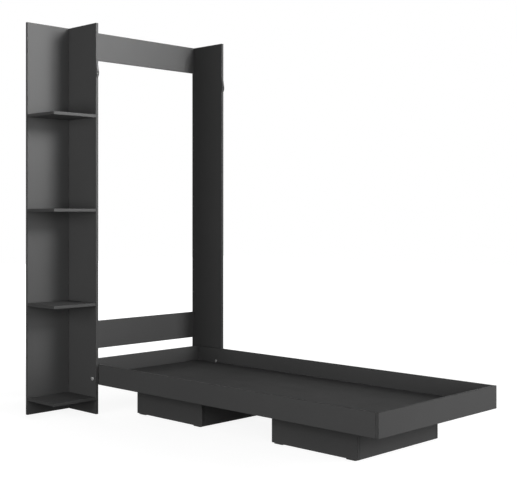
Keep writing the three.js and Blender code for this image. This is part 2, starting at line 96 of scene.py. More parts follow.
def seen_or_mirrored(add):
    """1 for the rays by which the camera, a reflection or a glass sees the background, 0 for light."""
    rays = add("ShaderNodeLightPath").outputs
    direct = {0: rays["Is Camera Ray"], 1: rays["Is Glossy Ray"]}
    seen = add("ShaderNodeMath", direct, operation="MAXIMUM").outputs[0]
    either = {0: seen, 1: rays["Is Transmission Ray"]}
    return add("ShaderNodeMath", either, operation="MAXIMUM").outputs[0]


world = bpy.data.worlds.new("studio")
add = shader_tree(world)
strength = add("ShaderNodeMapRange", {0: seen_or_mirrored(add), 3: ambient, 4: 1.0})
background = add("ShaderNodeBackground", {"Color": (1, 1, 1, 1), "Strength": strength.outputs[0]})
add("ShaderNodeOutputWorld", {"Surface": background.outputs[0]})
bpy.context.scene.world = world

floor_shape = bmesh.new()
floor_place = Matrix.Translation((0, 0, -floor_sink))
bmesh.ops.create_grid(floor_shape, x_segments=1, y_segments=1, size=floor_reach, matrix=floor_place)
floor_mesh = bpy.data.meshes.new("floor")
floor_shape.to_mesh(floor_mesh)
floor_shape.free()
floor = bpy.data.objects.new("floor", floor_mesh)
bpy.context.scene.collection.objects.link(floor)
floor_material = bpy.data.materials.new("studio_floor")
add = shader_tree(floor_material)
seen = seen_or_mirrored(add)
tone = add("ShaderNodeMapRange", {0: seen, 3: floor_bounce, 4: floor_white})
shaded = add("ShaderNodeBsdfDiffuse", {"Color": tone.outputs[0]})
plain = add("ShaderNodeEmission", {"Color": (1, 1, 1, 1), "Strength": floor_glow})
spot = add("ShaderNodeTexCoord").outputs["Object"]
away = add("ShaderNodeVectorMath", {0: spot}, operation="LENGTH").outputs["Value"]
plainness = {0: away, 1: shadow_reach, 2: shadow_end, 3: 1 - shadow_share, 4: 1.0}
white_share = add("ShaderNodeMapRange", plainness, interpolation_type="SMOOTHSTEP").outputs[0]
share = add("ShaderNodeMath", {0: seen, 1: white_share}, operation="MULTIPLY")
blended = add("ShaderNodeMixShader", {0: share.outputs[0], 1: shaded.outputs[0], 2: plain.outputs[0]})
add("ShaderNodeOutputMaterial", {"Surface": blended.outputs[0]})
floor_mesh.materials.append(floor_material)

bed_middle = (0, 0.3, 1.0)
key_target = (-1.0, 0.94, 2.7)
panel_size = 2.0
open_spread = 180
lamps = {
    "front_right_panel": {"place": (2.25, -3.6, 1.3), "at": bed_middle, "watts": 141},
    "front_left_panel": {"place": (-2.25, -3.6, 1.3), "at": bed_middle, "watts": 95},
    "left_panel": {"place": (-4.5, 0.3, 1.3), "at": bed_middle, "watts": 88},
    "key": {"place": (1.19, -3.02, 3.32), "at": key_target, "size": 1.58, "watts": 72, "spread": 60},
    "soft_key": {"place": (1.01, -3.18, 3.01), "at": key_target, "size": 2.48, "watts": 21, "spread": 60},
    "right_panel": {"place": (4.8, 0.6, 1.0), "at": bed_middle, "watts": 85},
    "back_panel": {"place": (1.8, 4.6, 1.0), "at": (0, 0.9, 1.0), "watts": 110},
    "ceiling_panel": {"place": (0, -0.2, 4.2), "at": (0, -0.1, 0), "size": 2.4, "watts": 4},
}
for name, lamp in lamps.items():
    light = bpy.data.lights.new(name, "AREA")
    light.shape = "SQUARE"
    light.size = lamp.get("size", panel_size)
    light.energy = lamp["watts"]
    light.spread = radians(lamp.get("spread", open_spread))
    light_object = bpy.data.objects.new(name, light)
    light_object.location = lamp["place"]
    aim = Vector(lamp["at"]) - Vector(lamp["place"])
    light_object.rotation_euler = aim.to_track_quat("-Z", "Y").to_euler()
    light_object.visible_camera = False
    bpy.context.scene.collection.objects.link(light_object)

# Side panels
# Two full-height boards of 16 mm chipboard faced with matt grey laminate, with a fine pearl grain
# pressed into it. A strip of the same grey, ironed on, closes their narrow sides, and the arrises
# where hands and the tray pass are worn a little paler.
grey = 0.062
cloud_size = 0.6
cloud_span = (0.25, 0.75)
cloud_spread = 0.05
speck_spread = 0.06
grain_size = 0.0012
grain_depth = 0.00003
grain_strength = 0.6
shine = 0.015
face_roughness = 0.75
handled_size = 0.12
handled_spread = 0.05
edging_grey = 0.055
edging_roughness = 0.72
edging_thickness = 0.001
seam_grey = 0.022
seam_width = 0.00022
worn_grey = 0.066
worn_reach = 0.0011
scuff_size = 0.035
scuff_span = (0.42, 0.66)
faintest_scuff = 0.15
dowel_wood = (0.56, 0.38, 0.21, 1)
dowel_wood_dark = (0.42, 0.26, 0.13, 1)
wood_grain_size = 0.0009
wood_grain_span = (0.35, 0.65)
wood_start = 0.00002
equal_within = 1e-6
noise_span = (0.3, 0.7)


def combine(add, operation, a, b=0.0):
    """A number made from one or two others."""
    return add("ShaderNodeMath", {0: a, 1: b}, operation=operation).outputs[0]


def ranged(add, value, start, end, out_start, out_end, kind="LINEAR"):
    """A number carried over from one range to another, and kept inside it."""
    inputs = {0: value, 1: start, 2: end, 3: out_start, 4: out_end}
    return add("ShaderNodeMapRange", inputs, interpolation_type=kind).outputs[0]


def mixed(add, share, a, b):
    """A share of the way from one number to another."""
    return add("ShaderNodeMix", {0: share, 2: a, 3: b}, data_type="FLOAT").outputs[0]


def noise(add, where, size, detail):
    """Soft noise with patches of one size in metres."""
    inputs = {"Vector": where, "Scale": 1 / size, "Detail": detail}
    return add("ShaderNodeTexNoise", inputs).outputs["Fac"]


def mottled(add, where, size, detail, low, high, span=noise_span):
    """Noise that goes from a low to a high value, within the span in which most of it lies."""
    return ranged(add, noise(add, where, size, detail), *span, low, high)


def coated(add, skin):
    """The surface that ends a finish."""
    surface = add("ShaderNodeBsdfPrincipled", skin).outputs[0]
    add("ShaderNodeOutputMaterial", {"Surface": surface})


def laminate(node, low_dowels=(0, 0, 0), high_dowels=(0, 0, 0), edged=True):
    """Laminate on a board's faces, edging round its narrow sides, and bare wood on its dowels."""
    low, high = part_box(node)
    low = low + Vector(low_dowels)
    high = high - Vector(high_dowels)
    size = high - low
    across = [i for i in range(3) if size[i] > min(size) + equal_within]
    material = bpy.data.materials.new("laminate_" + node)
    add = shader_tree(material)

    place = add("ShaderNodeTexCoord").outputs["Object"]
    from_low = add("ShaderNodeVectorMath", {0: place, 1: low}, operation="SUBTRACT").outputs[0]
    from_high = add("ShaderNodeVectorMath", {0: high, 1: place}, operation="SUBTRACT").outputs[0]
    inwards = add("ShaderNodeVectorMath", {0: from_low, 1: from_high}, operation="MINIMUM").outputs[0]
    parts = add("ShaderNodeSeparateXYZ", {0: inwards}).outputs
    smaller = combine(add, "MINIMUM", parts[0], parts[1])
    larger = combine(add, "MAXIMUM", parts[0], parts[1])
    to_arris = combine(add, "MAXIMUM", smaller, combine(add, "MINIMUM", larger, parts[2]))

    level = grey
    roughness = face_roughness
    if edged:
        seam_middle = edging_thickness + seam_width / 2
        to_edge = combine(add, "MINIMUM", parts[across[0]], parts[across[1]])
        edging = ranged(add, to_edge, edging_thickness, seam_middle, 1, 0)
        off_seam = combine(add, "ABSOLUTE", combine(add, "SUBTRACT", to_edge, seam_middle))
        seam = ranged(add, off_seam, seam_width / 2, seam_width, 1, 0, "SMOOTHSTEP")
        level = mixed(add, seam, mixed(add, edging, grey, edging_grey), seam_grey)
        roughness = ranged(add, edging, 0, 1, face_roughness, edging_roughness)
    scuffs = mottled(add, place, scuff_size, 4, faintest_scuff, 1, scuff_span)
    worn = combine(add, "MULTIPLY", ranged(add, to_arris, 0, worn_reach, 1, 0, "SMOOTHSTEP"), scuffs)
    clouds = mottled(add, place, cloud_size, 3, 1 - cloud_spread, 1 + cloud_spread, cloud_span)
    specks = mottled(add, place, grain_size, 2, 1 - speck_spread, 1 + speck_spread)
    uneven = combine(add, "MULTIPLY", clouds, specks)
    toned = combine(add, "MULTIPLY", mixed(add, worn, level, worn_grey), uneven)
    colour = add("ShaderNodeCombineColor", {0: toned, 1: toned, 2: toned}).outputs[0]
    if any(low_dowels) or any(high_dowels):
        streaks = mottled(add, place, wood_grain_size, 2, 0, 1, wood_grain_span)
        wood = {"Factor": streaks, 6: dowel_wood, 7: dowel_wood_dark}
        wood_colour = add("ShaderNodeMix", wood, data_type="RGBA").outputs[2]
        outside = combine(add, "LESS_THAN", combine(add, "MINIMUM", smaller, parts[2]), -wood_start)
        dressed = {"Factor": outside, 6: colour, 7: wood_colour}
        colour = add("ShaderNodeMix", dressed, data_type="RGBA").outputs[2]

    handled = mottled(add, place, handled_size, 4, -handled_spread, handled_spread)
    grain = noise(add, place, grain_size, 3)
    pressed = {"Height": grain, "Strength": grain_strength, "Distance": grain_depth}
    skin = {
        "Base Color": colour,
        "Roughness": combine(add, "ADD", roughness, handled),
        "Normal": add("ShaderNodeBump", pressed).outputs[0],
        "Specular IOR Level": shine,
    }
    coated(add, skin)
    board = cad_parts[node]
    board.data.materials.clear()
    board.data.materials.append(None)
    board.material_slots[0].link = "OBJECT"
    board.material_slots[0].material = material


laminate("side_panel_left")
laminate("side_panel_right")

# Shelf back panel
# One more full-height board of the same laminate. It lies flat on the wall behind the shelves and is
# butted and screwed against the left side panel.
laminate("shelf_back_panel")

# Rails
# Two short-cut boards on edge between the side panels, flush with the panels' back edges. The upper
# one takes the fixing to the wall, and connecting screws through the panels hold both.
laminate("top_rail")
laminate("lower_rail")

# Shelves
# Four boards in the corner between the left side panel and the back panel, edged on the two sides
# that show. A wooden dowel in each hidden side carries them beside the connecting screws.
dowel_reach = 0.01
for number in range(1, 5):
    laminate(f"shelf_{number}", high_dowels=(dowel_reach, dowel_reach, 0))

# Tray rim
# Four boards on edge make a shallow tray for the mattress. The head and foot boards run across the
# full width, the side boards stand between them on glued dowels, and all are grooved for the base.
laminate("tray_head_board")
laminate("tray_foot_board")
for side in ("left", "right"):
    ends = (0, dowel_reach, 0)
    laminate(f"tray_side_board_{side}", low_dowels=ends, high_dowels=ends)

# Tray base
# The board that carries the mattress. Its four sides are cut to a tongue that sits in the rim's
# grooves, so it needs no edging, and its laminate is the rim's.
laminate("tray_base_panel", edged=False)

# Box plinths
# Two open-bottomed boxes of the same board under the base, on which the lowered tray rests. Their
# side boards run the full length, and the front and back boards stand between them on dowels.
for plinth in ("head_plinth", "foot_plinth"):
    laminate(f"{plinth}_left_board")
    laminate(f"{plinth}_right_board")
    ends = (dowel_reach, 0, 0)
    laminate(f"{plinth}_front_board", low_dowels=ends, high_dowels=ends)
    laminate(f"{plinth}_back_board", low_dowels=ends, high_dowels=ends)

# Connecting screws
# Zinc-plated steel screws with a flat countersunk head, a hexagon socket, a plain shank that fills
# the first board and a coarse cut thread in the end of the second. They hold the frame's boards.
screw_length = 50
screw_head_radius = 5
screw_head_edge = 0.8
screw_shank_radius = 3.5
screw_shank_end = 15.8
screw_thread_radius = 2.5
screw_core_radius = 1.75
screw_thread_pitch = 3
screw_thread_form = (0.3, 0.45, 0.55, 0.7)
screw_tip = 4
screw_socket_radius = 2.3
screw_socket_depth = 2
screw_easing = 0.3
screw_step = 0.4
screw_sides = 24
socket_land = 0.5
socket_point = 1.25
zinc = 0.5
zinc_roughness = 0.34
crystals_per_metre = 900.0
crystal_tones = (0.93, 1.05)
dull_size = 0.004
dull_span = (0.35, 0.7)
dullest = 0.84
scratch_size = 0.0006
scratch_depth = 0.00002
scratch_strength = 0.35
polish_size = 0.003
smoother = 0.06
rougher = 0.1
sharp_angle = 32
millimetre = 0.001
touching = 0.001


def only(kind, items):
    """The items of one kind, such as the points, that a mesh operator made."""
    return [item for item in items if isinstance(item, kind)]


def turned(profile, sides=48):
    """A skin turned about the Z axis from (radius, height) points in millimetres."""
    shape = bmesh.new()
    points = [shape.verts.new((radius, 0, height)) for radius, height in profile]
    outline = [shape.edges.new(pair) for pair in zip(points, points[1:])]
    bmesh.ops.spin(
        shape,
        geom=points + outline,
        axis=(0, 0, 1),
        cent=(0, 0, 0),
        steps=sides,
        angle=radians(360),
        use_merge=True,
    )
    bmesh.ops.remove_doubles(shape, verts=shape.verts, dist=touching)
    return shape


def open_ring(shape, height):
    """The open edges of a turned skin that lie at one height."""
    borders = [edge for edge in shape.edges if edge.is_boundary]
    return [edge for edge in borders if all(abs(end.co.z - height) < touching for end in edge.verts)]


def wires(shape):
    """The edges that bound no face yet, such as a circle just drawn."""
    return [edge for edge in shape.edges if edge.is_wire]


def add_socket(shape, radius, depth, height=0, sides=48, upwards=False):
    """A hexagon socket with a drilled bottom, let into the open ring at the middle of a turned head."""
    rim = open_ring(shape, height)
    place = Matrix.Translation((0, 0, height))
    bmesh.ops.create_circle(shape, segments=6, radius=radius, matrix=place)
    bmesh.ops.subdivide_edges(shape, edges=wires(shape), cuts=sides // 6 - 1)
    hexagon = wires(shape)
    bmesh.ops.bridge_loops(shape, edges=rim + hexagon)
    deeper = -depth if upwards else depth
    wall = bmesh.ops.extrude_edge_only(shape, edges=hexagon)["geom"]
    bmesh.ops.translate(shape, verts=only(bmesh.types.BMVert, wall), vec=(0, 0, deeper))
    foot = only(bmesh.types.BMEdge, wall)
    cone = bmesh.ops.extrude_edge_only(shape, edges=foot)["geom"]
    tip = (0, 0, height + deeper * socket_point)
    bmesh.ops.pointmerge(shape, verts=only(bmesh.types.BMVert, cone), merge_co=tip)


def start_of(node, aim):
    """Turns a shape's Z axis to the aim, brings it to metres and puts its zero where the node begins."""
    low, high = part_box(node)
    aim = Vector(aim)
    start = (low + high) / 2 - aim * (abs((high - low).dot(aim)) / 2)
    turn = aim.to_track_quat("Z", "Y").to_matrix().to_4x4()
    return Matrix.Translation(start) @ turn @ Matrix.Scale(millimetre, 4)


def fit_piece(name, shape, place, material, body, slot, *nodes):
    """A shape becomes a piece of the bed that moves with a body and stands for the CAD nodes."""
    bmesh.ops.transform(shape, matrix=place, verts=shape.verts)
    bmesh.ops.recalc_face_normals(shape, faces=shape.faces)
    mesh = bpy.data.meshes.new(name)
    shape.to_mesh(mesh)
    shape.free()
    mesh.polygons.foreach_set("use_smooth", [True] * len(mesh.polygons))
    mesh.set_sharp_from_angle(angle=radians(sharp_angle))
    mesh.materials.append(material)
    piece = bpy.data.objects.new(name, mesh)
    bpy.context.scene.collection.objects.link(piece)
    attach(piece, body)
    if nodes:
        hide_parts(*nodes)
    return piece


def plated_steel(name, tone, roughness, warmth=0.0):
    """Plated steel with faint crystals in the plating, dull handling marks and fine scratches."""
    material = bpy.data.materials.new(name)
    add = shader_tree(material)
    place = add("ShaderNodeTexCoord").outputs["Object"]
    pattern = {"Vector": place, "Scale": crystals_per_metre}
    crystals = add("ShaderNodeTexVoronoi", pattern).outputs["Color"]
    facet = add("ShaderNodeSeparateColor", {0: crystals}).outputs[0]
    level = combine(add, "MULTIPLY", ranged(add, facet, 0, 1, *crystal_tones), tone)
    dulled = combine(add, "MULTIPLY", level, mottled(add, place, dull_size, 4, 1.0, dullest, dull_span))
    warm = combine(add, "MULTIPLY", dulled, 1 + warmth)
    cool = combine(add, "MULTIPLY", dulled, 1 - warmth)
    scratches = noise(add, place, scratch_size, 5)
    scratched = {"Height": scratches, "Strength": scratch_strength, "Distance": scratch_depth}
    skin = {
        "Base Color": add("ShaderNodeCombineColor", {0: warm, 1: dulled, 2: cool}).outputs[0],
        "Metallic": 1.0,
        "Roughness": mottled(add, place, polish_size, 3, roughness - smoother, roughness + rougher),
        "Normal": add("ShaderNodeBump", scratched).outputs[0],
    }
    coated(add, skin)
    return material


def thread(first, last, pitch, form):
    """The profile of a thread, one turn's (radius, height) points repeated from first to last."""
    points = []
    start = first
    while start < last:
        points += [(radius, start + height) for radius, height in form]
        start += pitch
    return points


screw_steel = plated_steel("zinc_plated_steel", zinc, zinc_roughness, warmth=0.03)
thread_start = screw_shank_end + 1
thread_end = screw_length - screw_tip
flank, crest, crest_end, flank_end = [share * screw_thread_pitch for share in screw_thread_form]
screw_turn = [
    (screw_core_radius, flank),
    (screw_thread_radius, crest),
    (screw_thread_radius, crest_end),
    (screw_core_radius, flank_end),
]
screw_profile = [
    (screw_socket_radius + socket_land, 0),
    (screw_head_radius - screw_easing, 0),
    (screw_head_radius - 0.3 * screw_easing, 0.3 * screw_easing),
    (screw_head_radius, screw_easing),
    (screw_head_radius, screw_head_edge),
    (screw_shank_radius, screw_head_edge + screw_head_radius - screw_shank_radius),
    (screw_shank_radius, screw_shank_end - screw_step),
    (screw_shank_radius - screw_step, screw_shank_end),
    (screw_core_radius, screw_shank_end),
    (screw_core_radius, thread_start),
    *thread(thread_start, thread_end - screw_thread_pitch, screw_thread_pitch, screw_turn),
    (screw_core_radius, thread_end),
    (0, screw_length),
]
screw_aims = {
    "rail_screw_left": (1, 0, 0),
    "rail_screw_right": (-1, 0, 0),
    "shelf_side_screw": (-1, 0, 0),
    "shelf_rear_screw": (0, -1, 0),
    "back_panel_screw": (-1, 0, 0),
}
for row, aim in screw_aims.items():
    for number in range(1, 5):
        node = f"{row}_{number}"
        screw = turned(screw_profile, sides=screw_sides)
        add_socket(screw, screw_socket_radius, screw_socket_depth, sides=screw_sides)
        place = start_of(node, aim)
        fit_piece(f"{node}_steel", screw, place, screw_steel, "frame", "screw_steel", node)

# Glides
# Black plastic pads with round ends under the plinths' side boards, so that the board edges stay off
# the floor. Two steel nails in sunk holes hold each of them.
glide_width = 14
glide_length = 56
glide_height = 3.75
glide_easing = 0.7
glide_black = 0.014
nail_spread = 16
nail_sink_radius = 3.4
nail_sink_depth = 1.6
nail_sink_taper = 0.86
nail_head_start = nail_sink_depth - 0.5
nail_head_radius = 2.9
nail_radius = 1.5
nail_point = 2
nail_end = 12.75
nail_sides = 24
nail_tone = 0.42
nail_roughness = 0.4
colour_cloud_size = 0.012
colour_clouds = (0.92, 1.08)
rubbed_size = 0.0045
rubbed_span = (0.55, 0.72)
pit_depth = 0.00003
pit_strength = 0.5
satin_size = 0.006
glossier = 0.06
duller = 0.08
flat_angle = 1


def moulded(name, colour, roughness, gloss, pit_size, scuff_share=0.0):
    """Moulded plastic with a fine pitted skin, slight clouds in its colour and pale rubbed places."""
    material = bpy.data.materials.new(name)
    add = shader_tree(material)
    place = add("ShaderNodeTexCoord").outputs["Object"]
    clouds = mottled(add, place, colour_cloud_size, 3, *colour_clouds)
    rubbed = mottled(add, place, rubbed_size, 5, 0.0, scuff_share, rubbed_span)
    channels = {}
    for channel, value in enumerate(colour):
        channels[channel] = combine(add, "ADD", combine(add, "MULTIPLY", clouds, value), rubbed)
    pitted = {"Height": noise(add, place, pit_size, 3), "Strength": pit_strength, "Distance": pit_depth}
    skin = {
        "Base Color": add("ShaderNodeCombineColor", channels).outputs[0],
        "Roughness": mottled(add, place, satin_size, 4, roughness - glossier, roughness + duller),
        "Normal": add("ShaderNodeBump", pitted).outputs[0],
        "Specular IOR Level": gloss,
    }
    coated(add, skin)
    return material


def pad_between(rounds, low, high, sides=32):
    """A flat closed pad, the hull round some (radius, x, y) rounds, from a low to a high level."""
    shape = bmesh.new()
    for radius, x, y in rounds:
        for level in (low, high):
            place = Matrix.Translation((x, y, level))
            bmesh.ops.create_circle(shape, segments=sides, radius=radius, matrix=place)
    bmesh.ops.delete(shape, geom=list(shape.edges), context="EDGES_FACES")
    hull = bmesh.ops.convex_hull(shape, input=list(shape.verts))
    spare = only(bmesh.types.BMVert, {*hull["geom_interior"], *hull["geom_unused"]})
    bmesh.ops.delete(shape, geom=spare, context="VERTS")
    bmesh.ops.dissolve_limit(
        shape, angle_limit=radians(flat_angle), verts=list(shape.verts), edges=list(shape.edges)
    )
    return shape


def open_level(shape, level):
    """Takes away the flat face at one level and gives back the edges round the opening."""
    flat = [face for face in shape.faces if all(abs(v.co.z - level) < touching for v in face.verts)]
    bmesh.ops.delete(shape, geom=flat, context="FACES_ONLY")
    bmesh.ops.delete(shape, geom=wires(shape), context="EDGES")
    return [edge for edge in shape.edges if edge.is_boundary]


def sunk_ring(shape, ring, middle, share, depth):
    """Builds a wall inwards from a ring of edges, narrows it and gives back the ring at its end."""
    wall = bmesh.ops.extrude_edge_only(shape, edges=ring)["geom"]
    points = only(bmesh.types.BMVert, wall)
    about = Matrix.Translation(-middle)
    bmesh.ops.scale(shape, verts=points, vec=(share, share, 1), space=about)
    bmesh.ops.translate(shape, verts=points, vec=(0, 0, depth))
    return only(bmesh.types.BMEdge, wall)


glide_plastic = moulded(
    "glide_plastic", (glide_black,) * 3, roughness=0.5, gloss=0.3, pit_size=0.0005, scuff_share=0.03
)
nail_steel = plated_steel("nail_steel", nail_tone, nail_roughness)
nail_profile = [
    (0, nail_head_start - 0.3),
    (nail_head_radius - 0.6, nail_head_start - 0.15),
    (nail_head_radius, nail_head_start + 0.15),
    (nail_head_radius, nail_head_start + 0.4),
    (nail_radius, nail_head_start + 0.9),
    (nail_radius, nail_end - nail_point),
    (0, nail_end),
]
glide_middle = (glide_length - glide_width) / 2
glide_ends = [(glide_width / 2, 0, glide_middle), (glide_width / 2, 0, -glide_middle)]
glide_names = [
    f"{plinth}_glide_{end}_{side}"
    for plinth in ("head_plinth", "foot_plinth")
    for end in ("front", "back")
    for side in ("left", "right")
]
for node in glide_names:
    glide = pad_between(glide_ends, 0, glide_height)
    rims = [edge for edge in glide.edges if abs(edge.verts[0].co.z - edge.verts[1].co.z) < touching]
    bmesh.ops.bevel(
        glide, geom=rims, offset=glide_easing, segments=3, profile=0.5, affect="EDGES", material=-1
    )
    opening = open_level(glide, 0)
    holes = []
    nails = bmesh.new()
    for y in (-nail_spread, nail_spread):
        place = Matrix.Translation((0, y, 0))
        drawn = wires(glide)
        bmesh.ops.create_circle(glide, segments=nail_sides, radius=nail_sink_radius, matrix=place)
        ring = [edge for edge in wires(glide) if edge not in drawn]
        holes.append((Vector((0, y, 0)), ring))
        nail = turned(nail_profile, sides=nail_sides)
        bmesh.ops.translate(nail, verts=nail.verts, vec=(0, y, 0))
        nail_mesh = bpy.data.meshes.new("nail")
        nail.to_mesh(nail_mesh)
        nail.free()
        nails.from_mesh(nail_mesh)
        bpy.data.meshes.remove(nail_mesh)
    rings = [edge for middle, ring in holes for edge in ring]
    bmesh.ops.triangle_fill(glide, use_beauty=True, edges=opening + rings, normal=(0, 0, -1))
    for middle, ring in holes:
        bottom = sunk_ring(glide, ring, middle, nail_sink_taper, nail_sink_depth)
        bmesh.ops.contextual_create(glide, geom=bottom)
    place = start_of(node, (0, 0, 1))
    fit_piece(f"{node}_pad", glide, place, glide_plastic, "bed_tray", "glide_plastic", node)
    fit_piece(f"{node}_nails", nails, place, nail_steel, "bed_tray", "screw_steel")

# Pivot bushes
# Flanged bushes of pale nylon, pressed into the side panels from the niche. The bolts turn in them,
# and their flanges keep the tray's side boards off the panels.
bush_length = 16
bush_flange = 1.5
bush_bore = 5.35
bush_radius = 7
bush_flange_radius = 14
bush_groove_depth = 0.25
nylon_white = (0.69, 0.67, 0.61)
nylon = moulded("bush_nylon", nylon_white, roughness=0.42, gloss=0.5, pit_size=0.0004)
bush_end = bush_length + bush_flange
bush_profile = [
    (bush_bore, 0.5),
    (bush_bore + 0.5, 0),
    (bush_radius - 0.6, 0),
    (bush_radius, 0.8),
    (bush_radius, bush_length),
    (bush_flange_radius - 0.4, bush_length),
    (bush_flange_radius, bush_length + 0.35),
    (bush_flange_radius, bush_end - 0.5),
    (bush_flange_radius - 0.15, bush_end - 0.15),
    (bush_flange_radius - 0.5, bush_end),
    (bush_bore + 2.2, bush_end),
    (bush_bore + 2.0, bush_end - bush_groove_depth),
    (bush_bore + 1.4, bush_end - bush_groove_depth),
    (bush_bore + 1.2, bush_end),
    (bush_bore + 0.4, bush_end),
    (bush_bore, bush_end - 0.4),
    (bush_bore, 0.5),
]
inward = {"left": (1, 0, 0), "right": (-1, 0, 0)}
for side, aim in inward.items():
    node = f"pivot_bush_{side}"
    bush = turned(bush_profile)
    fit_piece(f"{node}_nylon", bush, start_of(node, aim), nylon, "frame", "bush_nylon", node)

# Pivot bolts
# Shoulder bolts of turned and nickel-plated steel with a large flat head and a hexagon socket. They
# pass through the bushes from outside and are screwed into the sleeve nuts in the tray.
bolt_head_radius = 11
bolt_head_thickness = 3.5
bolt_shoulder_radius = 5
bolt_shoulder_end = 25.75
bolt_thread_radius = 3
bolt_thread_end = 35.75
bolt_socket_radius = 3.5
bolt_socket_depth = 2.2
bolt_socket_sink = 0.35
bolt_thread_depth = 0.5
bolt_thread_pitch = 1
bolt_crest = 0.06
bolt_step = 0.4
nickel = 0.34
nickel_roughness = 0.6
ring_pitch = 0.00055
ring_tones = (0.94, 1.06)
ring_depth = 0.00001
ring_strength = 0.25
ring_wobble = 0.0006
wobble_size = 0.01
handled_metal_size = 0.005
handled_metal = 0.8
lathe_polish_size = 0.004
lathe_smoother = 0.05


def turned_steel(name, node, tone, roughness):
    """Plated steel with the fine rings that the lathe leaves on a head, centred on the node."""
    material = bpy.data.materials.new(name)
    add = shader_tree(material)
    low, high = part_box(node)
    middle = (low + high) / 2
    place = add("ShaderNodeTexCoord").outputs["Object"]
    centred = add("ShaderNodeMapping", {"Vector": place, "Location": -middle}).outputs[0]
    along = add("ShaderNodeSeparateXYZ", {0: centred}).outputs
    squares = [combine(add, "MULTIPLY", along[i], along[i]) for i in (1, 2)]
    radius = combine(add, "SQRT", combine(add, "ADD", *squares))
    wobble = combine(add, "MULTIPLY", noise(add, centred, wobble_size, 3), ring_wobble)
    turns = combine(add, "MULTIPLY", combine(add, "ADD", radius, wobble), radians(360) / ring_pitch)
    rings = combine(add, "SINE", turns)
    dull = mottled(add, centred, handled_metal_size, 4, 1.0, handled_metal, dull_span)
    shaded_rings = combine(add, "MULTIPLY", ranged(add, rings, -1, 1, *ring_tones), dull)
    level = combine(add, "MULTIPLY", shaded_rings, tone)
    grooved = {"Height": rings, "Strength": ring_strength, "Distance": ring_depth}
    polish = (roughness - lathe_smoother, roughness + rougher)
    skin = {
        "Base Color": add("ShaderNodeCombineColor", {0: level, 1: level, 2: level}).outputs[0],
        "Metallic": 1.0,
        "Roughness": mottled(add, centred, lathe_polish_size, 3, *polish),
        "Normal": add("ShaderNodeBump", grooved).outputs[0],
    }
    coated(add, skin)
    return material


bolt_core_radius = bolt_thread_radius - bolt_thread_depth
bolt_turn = [
    (bolt_thread_radius, -bolt_crest),
    (bolt_thread_radius, bolt_crest),
    (bolt_core_radius, bolt_thread_pitch / 2),
]
bolt_profile = [
    (bolt_socket_radius + 1.1, bolt_socket_sink),
    (bolt_socket_radius + 1.6, 0),
    (bolt_head_radius - 1.8, 0),
    (bolt_head_radius - 0.9, 0.22),
    (bolt_head_radius - 0.3, 0.75),
    (bolt_head_radius, 1.5),
    (bolt_head_radius, bolt_head_thickness - 0.3),
    (bolt_head_radius - 0.3, bolt_head_thickness),
    (bolt_shoulder_radius, bolt_head_thickness),
    (bolt_shoulder_radius, bolt_shoulder_end - bolt_step),
    (bolt_shoulder_radius - bolt_step, bolt_shoulder_end),
    (bolt_core_radius, bolt_shoulder_end),
    (bolt_core_radius, bolt_shoulder_end + bolt_thread_pitch / 2),
    *thread(bolt_shoulder_end + 1, bolt_thread_end - 1, bolt_thread_pitch, bolt_turn),
    (bolt_thread_radius - 1, bolt_thread_end),
    (0, bolt_thread_end),
]
for side, aim in inward.items():
    node = f"pivot_bolt_{side}"
    steel = turned_steel(f"nickel_plated_steel_{side}", node, nickel, nickel_roughness)
    bolt = turned(bolt_profile)
    depth = bolt_socket_depth - bolt_socket_sink
    add_socket(bolt, bolt_socket_radius, depth, height=bolt_socket_sink)
    fit_piece(f"{node}_steel", bolt, start_of(node, aim), steel, "bed_tray", "bright_steel", node)

# Sleeve nuts
# Satin nickel-plated nuts with a thin round flange, let into the tray's side boards from inside, which
# the pivot bolts are screwed into. Their hexagon sockets show just above the base.
nut_start = 4.25
nut_barrel_end = 16.25
nut_end = 17.75
nut_barrel_radius = 5
nut_bore = 3.25
nut_bore_end = 14.25
nut_flange_radius = 7.5
nut_socket_radius = 2.9
nut_socket_depth = 1.5
satin = 0.75
satin_roughness = 0.55
nut_profile = [
    (0, nut_bore_end),
    (nut_bore, nut_bore_end),
    (nut_bore, nut_start),
    (nut_barrel_radius - 0.3, nut_start),
    (nut_barrel_radius, nut_start + 0.3),
    (nut_barrel_radius, nut_barrel_end),
    (nut_flange_radius - 0.2, nut_barrel_end),
    (nut_flange_radius, nut_barrel_end + 0.2),
    (nut_flange_radius, nut_end - 0.7),
    (nut_flange_radius - 0.25, nut_end - 0.2),
    (nut_flange_radius - 0.9, nut_end),
    (nut_socket_radius + 0.6, nut_end),
]
for side, aim in inward.items():
    node = f"pivot_nut_{side}"
    steel = turned_steel(f"satin_nickel_{side}", node, satin, satin_roughness)
    nut = turned([(radius, height - nut_start) for radius, height in nut_profile])
    add_socket(nut, nut_socket_radius, nut_socket_depth, height=nut_end - nut_start, upwards=True)
    fit_piece(f"{node}_steel", nut, start_of(node, aim), steel, "bed_tray", "bright_steel", node)

# Catch levers
# Turn catches of grey moulded plastic on the panels' front edges. A wing thins towards its tip, a
# short tail gives the finger a hold, and a boss between them has a long recess for the screw. The
# recess's walls and floor are painted near black: painted shade for its depth.
lever_width = 15
lever_tip_radius = 4.5
lever_wing = 55
lever_tail = 20
lever_stand_off = 0.5
lever_boss = 7.5
lever_tip = 2.5
lever_boss_above = 6.6
lever_boss_below = 5
lever_wing_bend = 22
lever_tail_bend = 15
lever_recess_radius = 5.4
lever_recess_above = 9
lever_recess_below = 5.5
lever_recess_floor = 3
lever_bore = 2.45
lever_rounding = 0.0005
lever_rounded_from = 40
lever_sides = 32
wing_step = 4
tail_step = 3
wing_cuts = [lever_boss_above + wing_step * cut for cut in range(12)]
tail_cuts = [-lever_boss_below - tail_step * cut for cut in range(5)]
catch_grey = (0.046, 0.046, 0.047)
# Painted shade: the near-black colour of the recess's walls and floor stands in for the shade inside it.
recess_shade_black = 0.008


